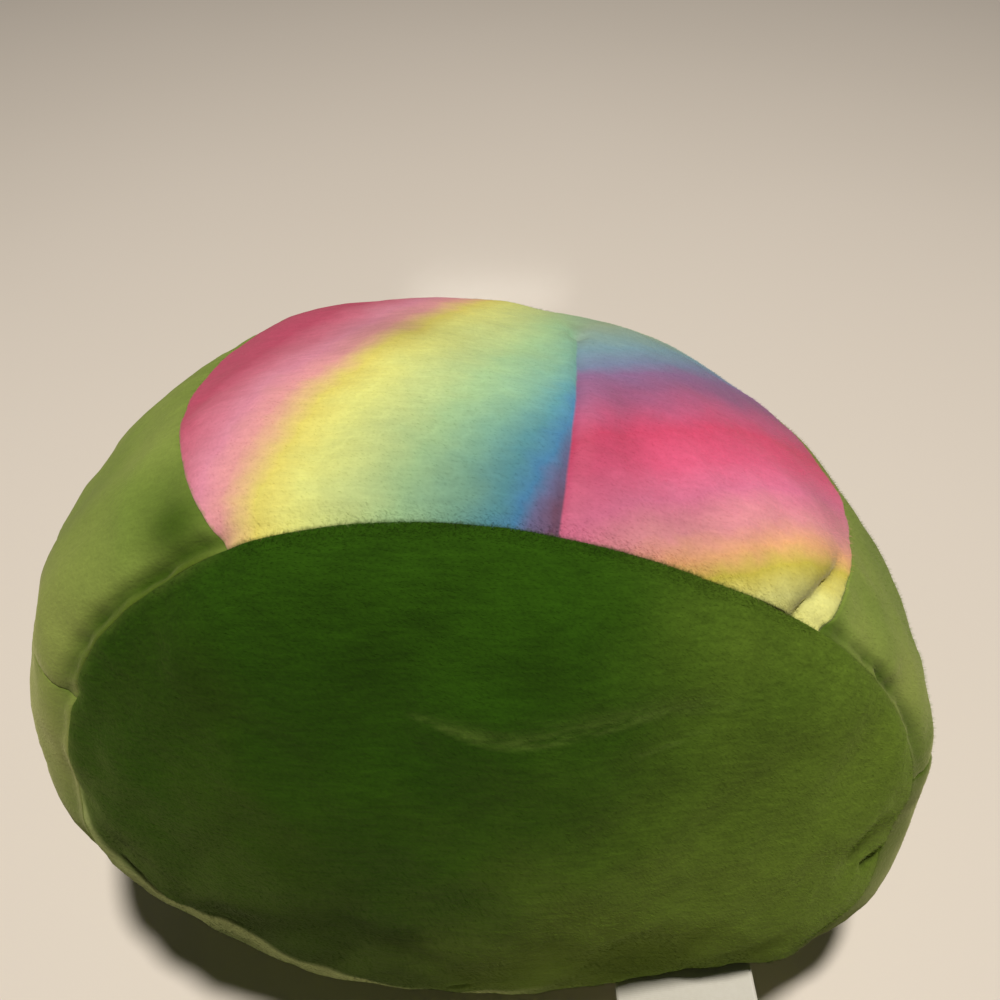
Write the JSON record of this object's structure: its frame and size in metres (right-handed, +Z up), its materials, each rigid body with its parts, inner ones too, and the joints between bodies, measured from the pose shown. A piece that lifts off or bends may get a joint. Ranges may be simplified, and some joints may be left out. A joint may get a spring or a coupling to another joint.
{
  "type": "plush toy",
  "caption": "Round stuffed velvet frog lying on its back, with a tie-dye belly, flat oval base, eye bumps and a care label.",
  "frame": {"origin": "on the surface the toy lies on, under the middle of its stuffing, inside the flattened patch of its back", "axes": "+Z up, out of the belly side; +Y from the flat base towards the crown, along the table; +X to the right as seen from the base"},
  "size_m": [0.2175, 0.2459, 0.1737],
  "materials": {
    "green_velvet": "short-pile velvet",
    "base_velvet": "short-pile velvet, darker green",
    "tie_dye_velvet": "short-pile velvet, rainbow tie-dye",
    "polyester_fill": "loose white fibre",
    "white_felt": "felt",
    "black_thread": "satin stitch",
    "green_thread": "twisted sewing thread",
    "label_tape": "woven satin tape, blank"
  },
  "bodies": {
    "toy": {"base_panel": "base_velvet", "front_panel": "green_velvet", "back_panel_left": "green_velvet", "back_panel_right": "green_velvet", "belly_panel": "tie_dye_velvet", "body_stuffing": "polyester_fill", "label_root": "label_tape", "mouth_stitching": "black_thread", "closing_stitch": "green_thread", "eye_bump_left": "green_velvet", "eye_stuffing_left": "polyester_fill", "eye_white_left": "white_felt", "pupil_left": "black_thread", "glint_left": "white_felt", "nostril_left": "black_thread", "eye_bump_right": "green_velvet", "eye_stuffing_right": "polyester_fill", "eye_white_right": "white_felt", "pupil_right": "black_thread", "glint_right": "white_felt", "nostril_right": "black_thread"},
    "label": {"care_label": "label_tape"}
  },
  "joints": [
    {"name": "label_flap", "type": "hinge", "parent": "toy", "child": "label", "pos_m": [0.05007, -0.07913, 0.0369], "axis": [-0.9586, -0.0473, -0.2808], "range_deg": [-40, 80]}
  ]
}
